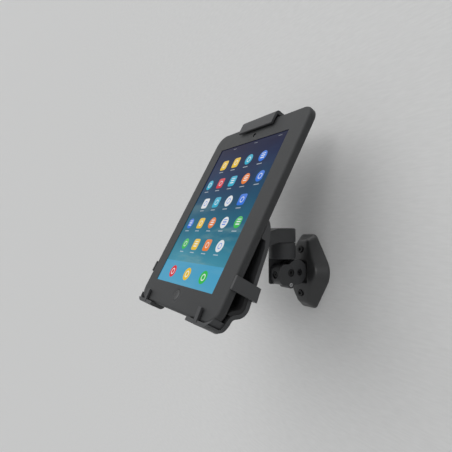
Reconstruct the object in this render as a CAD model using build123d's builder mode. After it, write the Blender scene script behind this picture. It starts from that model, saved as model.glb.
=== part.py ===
from build123d import *
import os
from math import cos, radians, sin, sqrt

os.makedirs("parts", exist_ok=True)

# Frame: the wall is the plane Y = 0, the room is on its -Y side, +Z is up
# and X = 0 is the middle. The wall pivot and the head pivot are at Z = 0.

# Fits, and how wide a screw's socket is for its head
running = 0.05
slip = 0.3
seat = 0.1
socket_share = 0.5

# Wall plate
plate_height = 98
plate_width = 89.2
plate_flat = 29
plate_thickness = 17
plate_crown_radius = 150
plate_side_inset = 13
plate_end_inset = 11.5
plate_side_radius = 29
plate_end_radius = 9
plate_front_side_radius = 20
plate_front_end_radius = 8
plate_rim_radius = 6
dish_gap = 2.4
wall_screw_spacing = 58
wall_screw_radius = 2.25
wall_screw_neck = 2
wall_screw_reach = 28
wall_screw_head_radius = 4.6
wall_screw_head = 2.8
wall_screw_depth = 4

# Tilting arm, between its far face and its near face
wall_pivot_reach = 26
arm_length = 14
arm_near = 12
arm_far = 6.5
arm_end_radius = 15.5
arm_top = 11
arm_front_reach = 18.8
arm_front_corner = 9
tongue_radius = 8.5
tongue_width = 7
washer_thickness = 0.75
pivot_bolt_radius = 2.5
wall_bolt_head_radius = 4
wall_bolt_head = 2.6
wall_bolt_sink = 1.4
head_bolt_radius = 3
head_bolt_head_radius = 4.9
head_bolt_head = 3
head_bolt_sink = 1.1
head_bolt_grip = 7
nut_flats = 8
nut_height = 3.6
lock_screw_radius = 1.6
lock_screw_drop = 15.5
lock_screw_head_radius = 3
lock_screw_head = 2
lock_boss_radius = 4.5
end_cover_thickness = 4
end_recess_radius = 5.2
end_recess_depth = 2.5
end_screw_radius = 1.5
end_screw_head_radius = 3
end_screw_head = 1.6
end_screw_length = 10

# Knuckle and swivel
swivel_reach = 5.5
swivel_radius = 17.4
pocket_height = 18
knuckle_drop = 15.3
knuckle_corner = 3
drum_top = 38.2
swivel_washer_radius = 15.5
swivel_washer = 0.8
cap_height = 18
swivel_bolt_radius = 4
swivel_bolt_head_radius = 6.5
swivel_bolt_head = 4.5
swivel_nut_flats = 13
swivel_nut_height = 5
neck_corner = 2
flange_radius = 24
flange_thickness = 6
flange_neck = 26
flange_screw_circle = 36
flange_screw_radius = 2
flange_screw_head_radius = 3.4
flange_screw_head = 2.4
flange_screw_grip = 9

# Tablet, case and the face plane that carries them
tilt = 29
screen_reach = 140
screen_height = 78.5
tablet_width = 169.5
tablet_length = 240
tablet_thickness = 6.2
tablet_corner_radius = 8
glass_thickness = 0.8
screen_side_margin = 10.85
screen_end_margin = 21.45
case_side_wall = 15.25
case_end_wall = 7
case_lip = 0.8
case_back_wall = 2.5
case_corner_radius = 17
case_front_edge = 3
case_back_edge = 2.2
camera_radius = 1.6
camera_inset = 12
camera_window = 3
button_inset = 10
button_radius = 6.2
button_travel = 0.5
dish_radius = 10.5

# Cradle shell, described from the side: depth behind the glass, height above the case's foot
shell_inset = 1
shell_wall = 4.3
shell_height = 121
shell_top_wall = 1.2
shoulder_height = 89
shell_shoulder_depth = 21.8
shoulder_radius = 12
belly_height = 21
shell_belly_depth = 30.5
belly_radius = 14
waist_height = 13.5
shell_waist_depth = 17
waist_radius = 6
shell_heel_depth = 15.5
heel_radius = 6
shell_corner_radius = 14
ledge_lip = 2.5
ledge_gap = 100
scoop_height = 15
scoop_radius = 10
foot_spacing = 142
foot_width = 6
foot_height = 13
foot_thickness = 3
foot_lean = 1.2
liner_wall = 4
liner_height = 47
liner_foot = 16
hub_height = 91
hub_radius = 26
hub_depth = 34

# Rail behind the case and the spring clip that slides in it; rises start at the rail's foot
rail_width = 68
rail_foot = 96
rail_inset = 23
rail_corner_radius = 10
rail_depth = 21.5
rail_cover_thickness = 1.5
rail_cover_margin = 3
rail_screw_radius = 1.5
rail_screw_head_radius = 2.8
rail_screw_grip = 5
strap_width = 56
strap_thickness = 2.6
strap_rise = 55
clip_travel = 16
clip_width = 72
clip_hold = 12.5
clip_thickness = 3
clip_stand = 1.8
clip_roof = 4.5
clip_roof_gap = 2.5
clip_corner_radius = 5
tab_rise = 6
tab_height = 6
tab_width = 24
spring_radius = 2.1
spring_spacing = 13
spring_rise = 13
pocket_width = 27
pocket_depth = 5.1

# Side clips
side_clip_foot = 44.7
side_clip_height = 14.2
side_clip_wall = 3
side_clip_leg = 38
side_clip_screw_radius = 1.5
side_clip_screw_head_radius = 2.8
side_clip_screw_head = 1.6
side_clip_screw_grip = 6

# Values that follow from the sizes above
wall_pivot = -wall_pivot_reach
head_pivot = wall_pivot - arm_length
arm_middle = (arm_near - arm_far) / 2
arm_tip = head_pivot - arm_front_reach
slot_half = tongue_width / 2 + washer_thickness + running
swivel_axis = head_pivot - swivel_reach
knuckle_face = -arm_far - washer_thickness - running
cap_bottom = drum_top + swivel_washer + running
cap_top = cap_bottom + cap_height
screen_width = tablet_width - 2 * screen_side_margin
screen_length = tablet_length - 2 * screen_end_margin
case_width = tablet_width + 2 * case_side_wall
case_length = tablet_length + 2 * case_end_wall
case_back = tablet_thickness + case_back_wall
case_half = case_length / 2
camera_up = tablet_length / 2 - camera_inset
button_down = tablet_length / 2 - button_inset
shell_width = case_width - 2 * shell_inset
shell_top = shell_height - case_half
shell_shoulder = shoulder_height - case_half
shell_belly = belly_height - case_half
shell_waist = waist_height - case_half
shell_pad = rail_foot - case_half
scoop_top = scoop_height - case_half
liner_top = liner_height - case_half
liner_bottom = liner_foot - case_half
hub_up = hub_height - case_half
side_clip_up = side_clip_foot - case_half
ledge_floor = -case_half - shell_wall
rail_top = case_half - rail_inset
strap_bottom = shell_pad + strap_rise
tab_up = strap_bottom + tab_rise
spring_bottom = shell_pad + spring_rise
clip_bottom = case_half - clip_hold

face = Plane(
    origin=(0, -screen_reach, screen_height),
    x_dir=(1, 0, 0),
    z_dir=(0, -cos(radians(tilt)), sin(radians(tilt))),
)


def behind(depth):
    """The face plane moved back by a depth, its normal still towards the reader."""
    return face.offset(-depth)


def side_on(x):
    """A plane across the tablet at x: its X is depth behind the glass, its Y runs up the tablet."""
    return Plane(
        origin=face.from_local_coords((x, 0, 0)), x_dir=-face.z_dir, z_dir=(1, 0, 0)
    )


def rearward(x, up, depth):
    """A plane on the back of the tablet, its normal pointing away from the reader."""
    return Plane(
        origin=face.from_local_coords((x, up, -depth)), x_dir=(-1, 0, 0), z_dir=-face.z_dir
    )


def save(part, label):
    part.label = label
    export_step(part, f"parts/{label}.step")


def hex_flats(flats):
    """The outer radius of a hexagon of the given width across flats."""
    return flats / sqrt(3)


def socket_screws(places, shank, length, head, head_height, taper=0):
    """Screws with a round head and a hexagon socket, each seated on one of the places."""
    with BuildPart() as screws:
        for place in places:
            with BuildSketch(place):
                Circle(shank)
            extrude(amount=-length)
            with BuildSketch(place):
                Circle(head)
            extrude(amount=head_height, taper=taper)
            with BuildSketch(place.offset(head_height)):
                RegularPolygon(socket_share * head, 6)
            extrude(amount=-0.6 * head_height, mode=Mode.SUBTRACT)
    return screws.part


# Wall plate
def plate_outline(width, height, flat, side_radius, end_radius):
    """A long hexagon with rounded corners."""
    half = height / 2
    with BuildSketch() as outline:
        with BuildLine():
            Polyline(
                (-flat / 2, half),
                (flat / 2, half),
                (width / 2, 0),
                (flat / 2, -half),
                (-flat / 2, -half),
                (-width / 2, 0),
                close=True,
            )
        make_face()
        corners = outline.vertices().sort_by(Axis.X)
        fillet([corners[0], corners[-1]], radius=side_radius)
        ends = [corner for corner in outline.vertices() if abs(abs(corner.Y) - half) < slip]
        fillet(ends, radius=end_radius)
    return outline.sketch


def wall_plate():
    """A hexagonal pyramid stump with a crowned front, a dish and a tongue for the arm."""
    lean = (plate_width - plate_flat) / plate_height
    front_width = plate_width - 2 * plate_side_inset * sqrt(1 + lean**2)
    front_height = plate_height - 2 * plate_end_inset
    front_flat = front_width - lean * front_height
    tongue_side = Plane.YZ.offset(arm_middle - tongue_width / 2)
    with BuildPart() as plate:
        with BuildSketch(Plane.XZ):
            add(
                plate_outline(
                    plate_width, plate_height, plate_flat, plate_side_radius, plate_end_radius
                )
            )
        with BuildSketch(Plane.XZ.offset(plate_thickness)):
            add(
                plate_outline(
                    front_width,
                    front_height,
                    front_flat,
                    plate_front_side_radius,
                    plate_front_end_radius,
                )
            )
        loft()
        with Locations((0, plate_crown_radius - plate_thickness, 0)):
            Sphere(plate_crown_radius, mode=Mode.INTERSECT)
        crown = plate.faces().sort_by(Axis.Y)[0]
        fillet(crown.edges(), radius=plate_rim_radius)
        with BuildSketch(Plane.YZ.offset(-arm_near - dish_gap)):
            with Locations((wall_pivot, 0)):
                Circle(arm_end_radius + dish_gap)
        extrude(amount=2 * arm_near + 2 * dish_gap, mode=Mode.SUBTRACT)
        with BuildSketch(tongue_side):
            with Locations((wall_pivot, 0)):
                Circle(tongue_radius)
            with Locations((wall_pivot, 0)):
                Rectangle(
                    -wall_pivot - plate_thickness / 3,
                    2 * tongue_radius,
                    align=(Align.MIN, Align.CENTER),
                )
        extrude(amount=tongue_width)
        with BuildSketch(tongue_side):
            with Locations((wall_pivot, 0)):
                Circle(pivot_bolt_radius + running)
        extrude(amount=tongue_width, mode=Mode.SUBTRACT)
        for place in wall_screw_places():
            with BuildSketch(place):
                Circle(wall_screw_head_radius + 2 * slip)
            extrude(amount=plate_thickness, mode=Mode.SUBTRACT)
            with BuildSketch(place):
                Circle(wall_screw_radius + slip)
            extrude(amount=-plate_thickness, mode=Mode.SUBTRACT)
    return plate.part


def wall_screw_places():
    """Where the wall screws' heads sit, facing the room."""
    seat_level = plate_thickness - wall_screw_depth
    return [
        Plane(origin=(0, -seat_level, z), x_dir=(1, 0, 0), z_dir=(0, -1, 0))
        for z in (wall_screw_spacing / 2, -wall_screw_spacing / 2)
    ]


def wall_screws():
    """Wall screws: a plain neck through the plate, and the wider thread from its back on."""
    seat_level = plate_thickness - wall_screw_depth
    with BuildPart() as screws:
        add(
            socket_screws(
                wall_screw_places(),
                wall_screw_neck,
                wall_screw_reach,
                wall_screw_head_radius,
                wall_screw_head,
                taper=10,
            )
        )
        for place in wall_screw_places():
            with BuildSketch(place.offset(-seat_level)):
                Circle(wall_screw_radius)
            extrude(amount=seat_level - wall_screw_reach)
    return screws.part


# Tilting arm: two cheeks, a spacer, an end cover and what clamps them
def arm_outline():
    """The arm seen from the side: a round end at the wall, a blunt front and the lock screw's boss."""
    with BuildSketch() as outline:
        with Locations((arm_tip, -arm_end_radius)):
            Rectangle(
                wall_pivot - arm_tip, arm_top + arm_end_radius, align=(Align.MIN, Align.MIN)
            )
        fillet(outline.vertices().group_by(Axis.X)[0], radius=arm_front_corner)
        with Locations((wall_pivot, 0)):
            Circle(arm_end_radius)
        with Locations((head_pivot, -lock_screw_drop)):
            Circle(lock_boss_radius)
    return outline.sketch


def arm_slice(sketch, start, thickness):
    """The arm's outline between two planes, without the room of the end cover."""
    with BuildPart() as layer:
        with BuildSketch(Plane.YZ.offset(start)):
            add(sketch)
            with Locations((arm_tip + end_cover_thickness, 0)):
                Rectangle(
                    2 * end_cover_thickness,
                    4 * arm_end_radius,
                    align=(Align.MAX, Align.CENTER),
                    mode=Mode.SUBTRACT,
                )
        extrude(amount=thickness)
    return layer.part


def bore(x, y, z, radius, depth):
    """A round cutter along X from a point, to the right for a positive depth."""
    with BuildPart() as cutter:
        with BuildSketch(Plane.YZ.offset(x)):
            with Locations((y, z)):
                Circle(radius)
        extrude(amount=depth)
    return cutter.part


def arm_cheek_right(sketch):
    """The near cheek, with the sunk seats of both bolts and of the lock screw."""
    inner = arm_middle + slot_half
    thickness = arm_near - inner
    sinks = (
        (wall_pivot, 0, wall_bolt_head_radius, wall_bolt_head + wall_bolt_sink),
        (head_pivot, 0, head_bolt_head_radius, head_bolt_head + head_bolt_sink),
        (head_pivot, -lock_screw_drop, lock_screw_head_radius, lock_screw_head),
    )
    with BuildPart() as cheek:
        add(arm_slice(sketch, inner, thickness))
        add(bore(inner, wall_pivot, 0, pivot_bolt_radius + seat, thickness), mode=Mode.SUBTRACT)
        add(bore(inner, head_pivot, 0, head_bolt_radius + seat, thickness), mode=Mode.SUBTRACT)
        add(
            bore(inner, head_pivot, -lock_screw_drop, lock_screw_radius + seat, thickness),
            mode=Mode.SUBTRACT,
        )
        for y, z, radius, depth in sinks:
            add(bore(arm_near, y, z, radius + slip, -depth), mode=Mode.SUBTRACT)
    return cheek.part


def arm_cheek_left(sketch):
    """The far cheek, with the nut of the wall pivot bolt let in."""
    inner = arm_middle - slot_half
    thickness = inner + arm_far
    with BuildPart() as cheek:
        add(arm_slice(sketch, -arm_far, thickness))
        add(bore(inner, wall_pivot, 0, pivot_bolt_radius + seat, -thickness), mode=Mode.SUBTRACT)
        add(bore(inner, head_pivot, 0, head_bolt_radius + seat, -thickness), mode=Mode.SUBTRACT)
        add(
            bore(inner, head_pivot, -lock_screw_drop, lock_screw_radius + seat, -thickness),
            mode=Mode.SUBTRACT,
        )
        with BuildSketch(Plane.YZ.offset(-arm_far)):
            with Locations((wall_pivot, 0)):
                RegularPolygon(hex_flats(nut_flats) + seat, 6)
        extrude(amount=nut_height, mode=Mode.SUBTRACT)
    return cheek.part


def arm_spacer(sketch):
    """The web between the cheeks, in front of the wall plate's tongue."""
    start = arm_middle - slot_half
    with BuildPart() as spacer:
        add(arm_slice(sketch, start, 2 * slot_half))
        add(
            bore(start, wall_pivot, 0, tongue_radius + 2 * slip, 2 * slot_half),
            mode=Mode.SUBTRACT,
        )
        with BuildSketch(Plane.YZ.offset(start)):
            with Locations((wall_pivot - tongue_radius, 0)):
                Rectangle(
                    4 * arm_end_radius, 4 * arm_end_radius, align=(Align.MIN, Align.CENTER)
                )
        extrude(amount=2 * slot_half, mode=Mode.SUBTRACT)
        add(
            bore(start, head_pivot, 0, head_bolt_radius + seat, 2 * slot_half),
            mode=Mode.SUBTRACT,
        )
        add(
            bore(start, head_pivot, -lock_screw_drop, lock_screw_radius + seat, 2 * slot_half),
            mode=Mode.SUBTRACT,
        )
        with BuildSketch(end_face().offset(-end_cover_thickness)):
            Circle(end_screw_radius + seat)
        extrude(amount=-end_screw_length, mode=Mode.SUBTRACT)
    return spacer.part


def end_face():
    """The arm's blunt front, facing the reader."""
    middle = (arm_top - arm_end_radius) / 2
    return Plane(origin=(arm_middle, arm_tip, middle), x_dir=(1, 0, 0), z_dir=(0, -1, 0))


def arm_end_cover(sketch):
    """The cover of the arm's blunt front, with a round recess for its screw."""
    with BuildPart() as cover:
        with BuildSketch(Plane.YZ.offset(-arm_far)):
            add(sketch)
            with Locations((arm_tip + end_cover_thickness - seat, 0)):
                Rectangle(
                    2 * end_cover_thickness,
                    4 * arm_end_radius,
                    align=(Align.MAX, Align.CENTER),
                    mode=Mode.INTERSECT,
                )
        extrude(amount=arm_near + arm_far)
        with BuildSketch(end_face()):
            Circle(end_recess_radius)
        extrude(amount=-end_recess_depth, mode=Mode.SUBTRACT)
        with BuildSketch(end_face()):
            Circle(end_screw_radius + seat)
        extrude(amount=-end_cover_thickness, mode=Mode.SUBTRACT)
    return cover.part


def across(x, y, z, side=1):
    """A plane on the arm's side, facing outwards on the given side."""
    return Plane(origin=(x, y, z), x_dir=(0, side, 0), z_dir=(side, 0, 0))


def arm_nut():
    """The hexagon nut let into the far cheek."""
    with BuildPart() as nut:
        with BuildSketch(Plane.YZ.offset(-arm_far)):
            with Locations((wall_pivot, 0)):
                RegularPolygon(hex_flats(nut_flats), 6)
                Circle(pivot_bolt_radius + running, mode=Mode.SUBTRACT)
        extrude(amount=nut_height)
    return nut.part


def wall_friction_washers():
    """The pair of rings between the cheeks and the wall plate's tongue."""
    with BuildPart() as washers:
        for side in (1, -1):
            with BuildSketch(Plane.YZ.offset(arm_middle + side * slot_half)):
                with Locations((wall_pivot, 0)):
                    Circle(tongue_radius)
                    Circle(pivot_bolt_radius + seat, mode=Mode.SUBTRACT)
            extrude(amount=-side * washer_thickness)
    return washers.part


def head_friction_washer():
    """The ring between the arm's far face and the knuckle."""
    with BuildPart() as washer:
        with BuildSketch(Plane.YZ.offset(-arm_far)):
            with Locations((head_pivot, 0)):
                Circle(tongue_radius)
                Circle(head_bolt_radius + seat, mode=Mode.SUBTRACT)
        extrude(amount=-washer_thickness)
    return washer.part


# Knuckle: a round block, cut away on the near side for the arm, with the swivel drum on top
def knuckle():
    with BuildPart() as body:
        with BuildSketch(Plane.XY.offset(-knuckle_drop)):
            with Locations((0, swivel_axis)):
                Circle(swivel_radius)
        extrude(amount=knuckle_drop + drum_top)
        foot = body.edges().filter_by(GeomType.CIRCLE).sort_by(Axis.Z)[0]
        fillet(foot, radius=knuckle_corner)
        with BuildSketch(Plane.YZ.offset(knuckle_face)):
            with Locations((swivel_axis, pocket_height)):
                Rectangle(4 * swivel_radius, 4 * swivel_radius, align=(Align.CENTER, Align.MAX))
        extrude(amount=4 * swivel_radius, mode=Mode.SUBTRACT)
        add(
            bore(knuckle_face, head_pivot, 0, head_bolt_radius + running, -2 * swivel_radius),
            mode=Mode.SUBTRACT,
        )
        with BuildSketch(Plane.XY.offset(drum_top)):
            with Locations((0, swivel_axis)):
                Circle(swivel_bolt_radius + seat)
        extrude(amount=pocket_height - drum_top, mode=Mode.SUBTRACT)
        with BuildSketch(Plane.XY.offset(pocket_height + swivel_nut_height + seat)):
            with Locations((0, swivel_axis)):
                RegularPolygon(hex_flats(swivel_nut_flats) + seat, 6)
        extrude(amount=-swivel_nut_height - seat, mode=Mode.SUBTRACT)
        with BuildSketch(Plane.XY.offset(pocket_height)):
            with Locations((0, swivel_axis)):
                RegularPolygon(hex_flats(swivel_nut_flats) + seat, 6)
        extrude(amount=-2, mode=Mode.SUBTRACT)
    return body.part


def swivel_washer_ring():
    with BuildPart() as washer:
        with BuildSketch(Plane.XY.offset(drum_top)):
            with Locations((0, swivel_axis)):
                Circle(swivel_washer_radius)
                Circle(swivel_bolt_radius + seat, mode=Mode.SUBTRACT)
        extrude(amount=swivel_washer)
    return washer.part


def swivel_bolt():
    head_level = cap_top - swivel_bolt_head
    reach = head_level - pocket_height
    place = Plane.XY.offset(head_level).shift_origin((0, swivel_axis, head_level))
    return socket_screws(
        [place], swivel_bolt_radius, reach, swivel_bolt_head_radius, swivel_bolt_head
    )


def swivel_nut():
    with BuildPart() as nut:
        with BuildSketch(Plane.XY.offset(pocket_height)):
            with Locations((0, swivel_axis)):
                RegularPolygon(hex_flats(swivel_nut_flats), 6)
                Circle(swivel_bolt_radius + running, mode=Mode.SUBTRACT)
        extrude(amount=swivel_nut_height)
    return nut.part


# Swivel head: the cap on the drum, the neck and the flange behind the cradle
def swivel_head():
    flange_face = rearward(0, hub_up, hub_depth + flange_thickness)
    neck_width = 2 * swivel_radius
    neck_middle = (cap_top + cap_bottom) / 2
    neck_end = Plane(
        origin=(0, swivel_axis - swivel_radius, neck_middle), x_dir=(-1, 0, 0), z_dir=(0, 1, 0)
    )
    with BuildPart() as head:
        with BuildSketch(Plane.XY.offset(cap_bottom)):
            with Locations((0, swivel_axis)):
                Circle(swivel_radius)
                Rectangle(neck_width, swivel_radius, align=(Align.CENTER, Align.MAX))
        extrude(amount=cap_height)
        fillet(head.edges().group_by(Axis.Z)[-1], radius=neck_corner)
        with BuildSketch(flange_face):
            Circle(flange_radius)
        extrude(amount=-flange_thickness)
        with BuildSketch(flange_face):
            RectangleRounded(flange_neck, flange_neck, 3 * neck_corner)
        with BuildSketch(neck_end):
            RectangleRounded(neck_width, cap_height, neck_corner)
        loft()
        with BuildSketch(Plane.XY.offset(cap_top)):
            with Locations((0, swivel_axis)):
                Circle(swivel_bolt_head_radius + slip)
        extrude(amount=-swivel_bolt_head - running, mode=Mode.SUBTRACT)
        with BuildSketch(Plane.XY.offset(cap_top)):
            with Locations((0, swivel_axis)):
                Circle(swivel_bolt_radius + running)
        extrude(amount=-cap_height, mode=Mode.SUBTRACT)
        with BuildSketch(flange_face):
            with PolarLocations(flange_screw_circle / 2, 4):
                Circle(flange_screw_radius + seat)
        extrude(amount=-flange_thickness, mode=Mode.SUBTRACT)
    return head.part


def flange_screws():
    flange_face = rearward(0, hub_up, hub_depth + flange_thickness)
    with BuildPart() as screws:
        with BuildSketch(flange_face):
            with PolarLocations(flange_screw_circle / 2, 4):
                Circle(flange_screw_radius)
        extrude(amount=-flange_thickness - flange_screw_grip)
        with BuildSketch(flange_face):
            with PolarLocations(flange_screw_circle / 2, 4):
                Circle(flange_screw_head_radius)
        extrude(amount=flange_screw_head, taper=15)
        with BuildSketch(flange_face.offset(flange_screw_head)):
            with PolarLocations(flange_screw_circle / 2, 4):
                RegularPolygon(socket_share * flange_screw_head_radius, 6)
        extrude(amount=-0.6 * flange_screw_head, mode=Mode.SUBTRACT)
    return screws.part


# Cradle shell
def shell_path():
    """The outer line of the shell from the side, from its top edge down to the ledge's lip."""
    return FilletPolyline(
        (case_back + shell_top_wall, shell_top),
        (shell_shoulder_depth, shell_shoulder),
        (shell_belly_depth, shell_belly),
        (shell_waist_depth, shell_waist),
        (shell_heel_depth, ledge_floor),
        (-case_lip - ledge_lip, ledge_floor),
        radius=(shoulder_radius, belly_radius, waist_radius, heel_radius),
    )


def shell_band(thickness):
    """The band of the given thickness inside the shell's outer line."""
    with BuildSketch() as band:
        with BuildLine():
            shell_path()
            offset(amount=thickness, side=Side.RIGHT)
        make_face()
    return band.sketch


def belly_slope():
    """How much deeper the shell's outer line gets for each millimetre down its back."""
    return (shell_belly_depth - shell_shoulder_depth) / (shell_shoulder - shell_belly)


def outer_depth(up):
    """The depth of the shell's outer line on the straight stretch of its back."""
    return shell_shoulder_depth + (shell_shoulder - up) * belly_slope()


def upper_depth(up):
    """The depth of the shell's outer line above its shoulder."""
    start = case_back + shell_top_wall
    share = (shell_top - up) / (shell_top - shell_shoulder)
    return start + share * (shell_shoulder_depth - start)


def rail_outline():
    with BuildSketch() as outline:
        with Locations((0, shell_pad)):
            Rectangle(rail_width, rail_top - shell_pad, align=(Align.CENTER, Align.MIN))
        fillet(outline.vertices().group_by(Axis.Y)[-1], radius=rail_corner_radius)
    return outline.sketch


def cradle_shell():
    cover_back = case_back + rail_cover_thickness
    with BuildPart() as shell:
        with BuildSketch(side_on(-shell_width / 2)):
            add(shell_band(shell_wall))
            with BuildLine():
                Polyline(
                    (case_back, shell_top),
                    (case_back, shell_pad),
                    (upper_depth(shell_pad) - seat, shell_pad),
                    (case_back + shell_top_wall, shell_top),
                    close=True,
                )
            make_face()
        extrude(amount=shell_width)
        with BuildSketch(behind(2 * shell_belly_depth)):
            with Locations((0, (shell_top + ledge_floor) / 2)):
                RectangleRounded(shell_width, shell_top - ledge_floor, shell_corner_radius)
        extrude(amount=3 * shell_belly_depth, mode=Mode.INTERSECT)
        with BuildSketch(behind(2 * shell_belly_depth)) as scoop:
            with Locations((0, scoop_top)):
                Rectangle(ledge_gap, 2 * shell_wall - scoop_top, align=(Align.CENTER, Align.MAX))
            fillet(scoop.vertices().group_by(Axis.Y)[-1], radius=scoop_radius)
        extrude(amount=3 * shell_belly_depth, mode=Mode.SUBTRACT)
        with BuildSketch(behind(hub_depth)):
            with Locations((0, hub_up)):
                Circle(hub_radius)
        extrude(amount=hub_depth - case_back)
        with BuildSketch(behind(rail_depth)):
            add(rail_outline())
        extrude(amount=rail_depth - case_back)
        with BuildSketch(side_on(-case_width)):
            with Locations((case_back, -case_half)):
                Rectangle(2 * case_back, 2 * case_length, align=(Align.MAX, Align.MIN))
        extrude(amount=2 * case_width, mode=Mode.SUBTRACT)
        for side in (1, -1):
            with BuildSketch(side_on(side * foot_spacing / 2 - foot_width / 2)):
                add(foot_profile())
            extrude(amount=foot_width)
        with BuildSketch(behind(cover_back)):
            add(rail_cover_outline(slip / 3))
        extrude(amount=rail_cover_thickness, mode=Mode.SUBTRACT)
        with BuildSketch(behind(cover_back)):
            with Locations((0, strap_bottom)):
                Rectangle(
                    strap_width + 2 * slip, 2 * rail_top, align=(Align.CENTER, Align.MIN)
                )
        extrude(amount=-strap_thickness - 2 * slip, mode=Mode.SUBTRACT)
        with BuildSketch(behind(pocket_floor())):
            with Locations((0, spring_bottom)):
                Rectangle(
                    pocket_width,
                    tab_up + tab_height + clip_travel + slip - spring_bottom,
                    align=(Align.CENTER, Align.MIN),
                )
        extrude(amount=pocket_floor() - cover_back, mode=Mode.SUBTRACT)
        with BuildSketch(behind(cover_back)):
            with Locations(*rail_screw_places()):
                Circle(rail_screw_radius + seat)
        extrude(amount=-rail_screw_grip, mode=Mode.SUBTRACT)
        with BuildSketch(behind(hub_depth)):
            with Locations((0, hub_up)):
                with PolarLocations(flange_screw_circle / 2, 4):
                    Circle(flange_screw_radius + seat)
        extrude(amount=flange_screw_grip + seat, mode=Mode.SUBTRACT)
        for place in side_clip_screw_places():
            with BuildSketch(place):
                Circle(side_clip_screw_radius + seat)
            extrude(amount=-side_clip_wall - side_clip_screw_grip, mode=Mode.SUBTRACT)
    return shell.part


def strap_front():
    """Depth of the strap's front face: just behind the rail's cover."""
    return case_back + rail_cover_thickness + slip


def pocket_floor():
    """Depth of the floor of the spring pocket."""
    return strap_front() + strap_thickness + slip + pocket_depth


def foot_profile():
    """A foot from the side: it starts under the ledge's lip and leans away from the case."""
    root = -case_lip - slip
    tip = root - foot_lean
    top = -case_half + foot_height
    with BuildSketch() as foot:
        with BuildLine():
            Polyline(
                (root, -case_half),
                (tip, top),
                (tip - foot_thickness, top),
                (root - foot_thickness, -case_half),
                (root - foot_thickness + slip, ledge_floor + 2),
                (root, ledge_floor),
                close=True,
            )
        make_face()
        fillet(foot.vertices().group_by(Axis.Y)[-1], radius=1)
    return foot.sketch


def rail_cover_outline(gap=0):
    """The cover let into the front of the rail, smaller than the rail by its margin less a gap."""
    width = rail_width - 2 * rail_cover_margin + 2 * gap
    bottom = shell_pad + rail_cover_margin - gap
    top = rail_top - rail_cover_margin + gap
    with BuildSketch() as outline:
        with Locations((0, (top + bottom) / 2)):
            RectangleRounded(width, top - bottom, 6)
    return outline.sketch


def rail_screw_places():
    """The four screws of the rail's cover, clear of the strap and the spring pocket."""
    reach = strap_width / 2 - 2 * rail_cover_margin
    low = spring_bottom
    high = strap_bottom - rail_screw_head_radius - rail_cover_margin
    return [(x, up) for x in (-reach, reach) for up in (low, high)]


def rail_cover():
    with BuildPart() as cover:
        with BuildSketch(behind(case_back + rail_cover_thickness)):
            add(rail_cover_outline())
        extrude(amount=rail_cover_thickness)
        with BuildSketch(behind(case_back)):
            with Locations(*rail_screw_places()):
                Circle(rail_screw_head_radius)
        extrude(amount=-rail_cover_thickness, taper=40, mode=Mode.SUBTRACT)
    return cover.part


def rail_screws():
    """Countersunk screws, flush with the rail's cover."""
    with BuildPart() as screws:
        with BuildSketch(behind(case_back)):
            with Locations(*rail_screw_places()):
                Circle(rail_screw_head_radius - seat)
        extrude(amount=-rail_cover_thickness, taper=40)
        with BuildSketch(behind(case_back + rail_cover_thickness)):
            with Locations(*rail_screw_places()):
                Circle(rail_screw_radius)
        extrude(amount=-rail_screw_grip)
        with BuildSketch(behind(case_back)):
            with Locations(*rail_screw_places()):
                RegularPolygon(socket_share * rail_screw_radius * 1.6, 6)
        extrude(amount=-rail_cover_thickness / 2, mode=Mode.SUBTRACT)
    return screws.part


def support_liner():
    """The inner strip that backs the lower bend of the shell."""
    with BuildPart() as liner:
        with BuildSketch(side_on(-shell_width / 2 + slip)):
            add(shell_band(shell_wall + liner_wall))
            add(shell_band(shell_wall), mode=Mode.SUBTRACT)
            with Locations((case_back + slip, (liner_top + liner_bottom) / 2)):
                Rectangle(
                    2 * shell_belly_depth,
                    liner_top - liner_bottom,
                    align=(Align.MIN, Align.CENTER),
                    mode=Mode.INTERSECT,
                )
        extrude(amount=shell_width - 2 * slip)
        for place in side_clip_screw_places():
            with BuildSketch(place):
                Circle(side_clip_screw_radius + seat)
            extrude(amount=-side_clip_wall - side_clip_screw_grip, mode=Mode.SUBTRACT)
    return liner.part


# Side clips
def side_clip_plane():
    """The back of the shell at the side clips, as a plane whose normal points away from the reader."""
    slope = belly_slope()
    across_back = face.x_dir
    down_back = face.y_dir * -1 - face.z_dir * slope
    origin = face.from_local_coords((0, side_clip_up, -outer_depth(side_clip_up)))
    normal = across_back.cross(down_back.normalized())
    return Plane(origin=origin, x_dir=across_back, z_dir=normal)


def side_clip_screw_places():
    """Two screws through the rear leg of each side clip, on the back of the leg."""
    inner_end = case_width / 2 - side_clip_leg
    places = []
    for side in (1, -1):
        for share in (0.2, 0.62):
            x = side * (inner_end + share * side_clip_leg)
            leg = side_clip_plane().offset(side_clip_wall)
            seat_point = leg.from_local_coords((x, 0, 0))
            places.append(Plane(origin=seat_point, x_dir=leg.x_dir, z_dir=leg.z_dir))
    return places


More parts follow.
